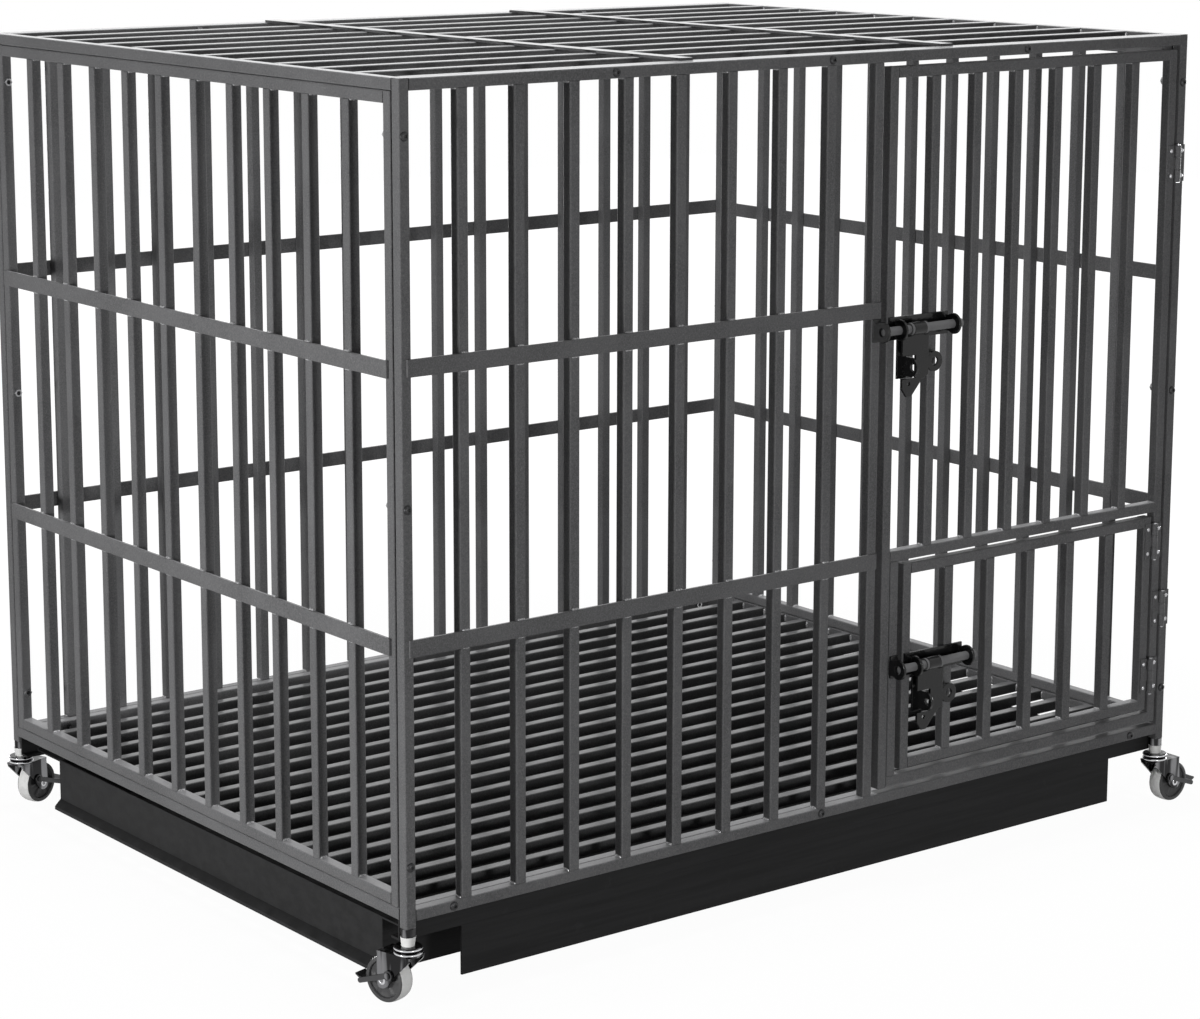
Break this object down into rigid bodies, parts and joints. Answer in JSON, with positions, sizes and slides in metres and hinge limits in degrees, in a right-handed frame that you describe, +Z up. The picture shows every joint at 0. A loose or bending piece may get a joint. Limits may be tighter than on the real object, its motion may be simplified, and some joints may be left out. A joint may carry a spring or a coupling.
{
  "type": "heavy duty dog crate",
  "caption": "Heavy duty dog crate of welded square tube with a main door, a feed door in it, padlock slide latches, a slide-out tray and braked swivel casters.",
  "frame": {"origin": "on the ground, in the middle of the footprint of the whole crate with its latches and casters", "axes": "+X right along the front, +Y from the front to the back, +Z up"},
  "size_m": [1.2222, 0.917, 0.96],
  "materials": {
    "frame_paint": "fine hammered grey powder coat",
    "latch_paint": "gloss black",
    "bolt_black": "black oxide",
    "plated_steel": "bright zinc plate",
    "tray_paint": "satin dark grey",
    "caster_chrome": "polished",
    "collar_plastic": "satin white",
    "wheel_plastic": "grey tread on a dark core",
    "brake_steel": "dark plated"
  },
  "bodies": {
    "crate": {"front_frame": "frame_paint", "front_bars": "frame_paint", "front_straps": "frame_paint", "back_frame": "frame_paint", "back_bars": "frame_paint", "back_straps": "frame_paint", "left_frame": "frame_paint", "left_bars": "frame_paint", "left_straps": "frame_paint", "right_frame": "frame_paint", "right_bars": "frame_paint", "right_straps": "frame_paint", "top_frame": "frame_paint", "top_bars": "frame_paint", "top_straps": "frame_paint", "floor_frame": "frame_paint", "floor_slats": "frame_paint", "tray_runners": "tray_paint", "panel_bolts": "bolt_black", "panel_nuts": "plated_steel", "main_hinge_fixed": "frame_paint", "main_hinge_pins": "plated_steel", "post_rivets": "plated_steel", "main_keeper": "latch_paint", "caster_stems": "caster_chrome", "caster_collars": "collar_plastic"},
    "main_door": {"door_frame": "frame_paint", "door_bars": "frame_paint", "feed_jamb": "frame_paint", "main_hinge_moving": "frame_paint", "feed_hinge_fixed": "frame_paint", "feed_hinge_pins": "plated_steel", "door_rivets": "plated_steel", "main_bracket": "latch_paint", "main_staple": "latch_paint", "feed_keeper": "latch_paint"},
    "feed_door": {"feed_frame": "frame_paint", "feed_bars": "frame_paint", "feed_hinge_moving": "frame_paint", "feed_rivets": "plated_steel", "feed_bracket": "latch_paint", "feed_staple": "latch_paint"},
    "main_bolt": {"main_bolt": "latch_paint"},
    "main_hasp": {"main_hasp": "latch_paint"},
    "feed_bolt": {"feed_bolt": "latch_paint"},
    "feed_hasp": {"feed_hasp": "latch_paint"},
    "tray": {"tray": "tray_paint"},
    "fl_fork": {"fl_fork": "caster_chrome"},
    "fl_wheel": {"fl_wheel": "wheel_plastic"},
    "fl_brake": {"fl_brake": "brake_steel"},
    "fr_fork": {"fr_fork": "caster_chrome"},
    "fr_wheel": {"fr_wheel": "wheel_plastic"},
    "fr_brake": {"fr_brake": "brake_steel"},
    "bl_fork": {"bl_fork": "caster_chrome"},
    "bl_wheel": {"bl_wheel": "wheel_plastic"},
    "bl_brake": {"bl_brake": "brake_steel"},
    "br_fork": {"br_fork": "caster_chrome"},
    "br_wheel": {"br_wheel": "wheel_plastic"},
    "br_brake": {"br_brake": "brake_steel"}
  },
  "joints": [
    {"name": "main_door_swing", "type": "hinge", "parent": "crate", "child": "main_door", "pos_m": [0.53652, -0.43347, 0.4785], "axis": [0, 0, 1], "range_deg": [0, 135]},
    {"name": "feed_door_swing", "type": "hinge", "parent": "main_door", "child": "feed_door", "pos_m": [0.51932, -0.43347, 0.2495], "axis": [0, 0, 1], "range_deg": [0, 115]},
    {"name": "main_bolt_slide", "type": "slide", "parent": "main_door", "child": "main_bolt", "axis": [1, 0, 0], "range_m": [0, 0.022]},
    {"name": "main_hasp_turn", "type": "hinge", "parent": "main_bolt", "child": "main_hasp", "pos_m": [0.10128, -0.44447, 0.6465], "axis": [-1, 0, 0], "range_deg": [0, 100]},
    {"name": "feed_bolt_slide", "type": "slide", "parent": "feed_door", "child": "feed_bolt", "axis": [1, 0, 0], "range_m": [0, 0.022]},
    {"name": "feed_hasp_turn", "type": "hinge", "parent": "feed_bolt", "child": "feed_hasp", "pos_m": [0.13548, -0.44447, 0.253], "axis": [-1, 0, 0], "range_deg": [0, 100]},
    {"name": "tray_slide", "type": "slide", "parent": "crate", "child": "tray", "axis": [-1, 0, 0], "range_m": [0, 0.85]},
    {"name": "fl_swivel", "type": "hinge", "parent": "crate", "child": "fl_fork", "pos_m": [-0.58218, -0.42312, 0.057], "axis": [0, 0, 1], "continuous": true},
    {"name": "fl_spin", "type": "hinge", "parent": "fl_fork", "child": "fl_wheel", "pos_m": [-0.58891, -0.39801, 0.0254], "axis": [-0.9659, -0.2588, 0], "continuous": true},
    {"name": "fl_brake_dip", "type": "hinge", "parent": "fl_fork", "child": "fl_brake", "pos_m": [-0.58632, -0.40767, 0.033], "axis": [-0.9659, -0.2588, 0], "range_deg": [0, 10]},
    {"name": "fr_swivel", "type": "hinge", "parent": "crate", "child": "fr_fork", "pos_m": [0.54512, -0.42312, 0.057], "axis": [0, 0, 1], "continuous": true},
    {"name": "fr_spin", "type": "hinge", "parent": "fr_fork", "child": "fr_wheel", "pos_m": [0.57112, -0.42312, 0.0254], "axis": [0, 1, 0], "continuous": true},
    {"name": "fr_brake_dip", "type": "hinge", "parent": "fr_fork", "child": "fr_brake", "pos_m": [0.56112, -0.42312, 0.033], "axis": [0, 1, 0], "range_deg": [0, 10]},
    {"name": "bl_swivel", "type": "hinge", "parent": "crate", "child": "bl_fork", "pos_m": [-0.58218, 0.42518, 0.057], "axis": [0, 0, 1], "continuous": true},
    {"name": "bl_spin", "type": "hinge", "parent": "bl_fork", "child": "bl_wheel", "pos_m": [-0.55775, 0.43407, 0.0254], "axis": [-0.342, 0.9397, 0], "continuous": true},
    {"name": "bl_brake_dip", "type": "hinge", "parent": "bl_fork", "child": "bl_brake", "pos_m": [-0.56715, 0.43065, 0.033], "axis": [-0.342, 0.9397, 0], "range_deg": [0, 10]},
    {"name": "br_swivel", "type": "hinge", "parent": "crate", "child": "br_fork", "pos_m": [0.54512, 0.42518, 0.057], "axis": [0, 0, 1], "continuous": true},
    {"name": "br_spin", "type": "hinge", "parent": "br_fork", "child": "br_wheel", "pos_m": [0.51951, 0.42066, 0.0254], "axis": [0.1736, -0.9848, 0], "continuous": true},
    {"name": "br_brake_dip", "type": "hinge", "parent": "br_fork", "child": "br_brake", "pos_m": [0.52936, 0.4224, 0.033], "axis": [0.1736, -0.9848, 0], "range_deg": [0, 10]}
  ]
}
